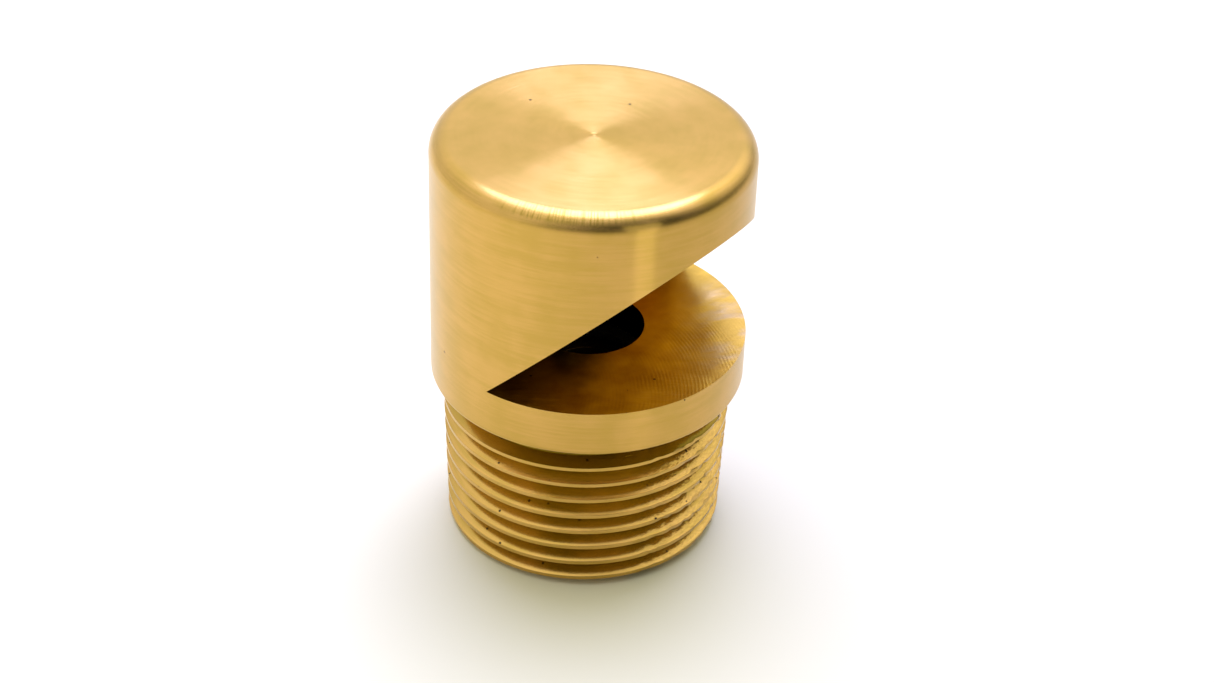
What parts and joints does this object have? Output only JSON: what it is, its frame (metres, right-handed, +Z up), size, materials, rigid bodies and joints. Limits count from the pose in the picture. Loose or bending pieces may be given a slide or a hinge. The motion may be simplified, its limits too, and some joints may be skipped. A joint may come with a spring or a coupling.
{
  "type": "automatic air vent",
  "caption": "Round brass air vent with a hooded side mouth over its outlet hole, a taper-threaded shank and a float valve inside.",
  "frame": {"origin": "centre of the threaded shank's end face, where the body stands", "axes": "+Z up the body's axis from the shank to the hood's flat top; the mouth opens towards -Y"},
  "size_m": [0.0288, 0.0288, 0.0401],
  "materials": {
    "body_brass": "satin, turned and milled",
    "seat_brass": "satin, turned",
    "seal_rubber": "matte",
    "disc_rubber": "matte",
    "float_plastic": "matte, moulded",
    "stainless_steel": "brushed",
    "spring_steel": "dark, phosphated",
    "guide_plastic": "matte, moulded"
  },
  "bodies": {
    "vent": {"vent_body": "body_brass", "seat_plate": "seat_brass", "seat_gasket": "seal_rubber", "spacer_sleeve": "stainless_steel", "guide_pin": "stainless_steel", "guide_spider": "guide_plastic", "inlet_strainer": "stainless_steel", "retaining_ring": "spring_steel"},
    "float": {"float_shell": "float_plastic", "float_cap": "float_plastic", "valve_disc": "disc_rubber"}
  },
  "joints": [
    {"name": "float_lift", "type": "slide", "parent": "vent", "child": "float", "axis": [0, 0, 1], "range_m": [0, 0.0023]}
  ]
}
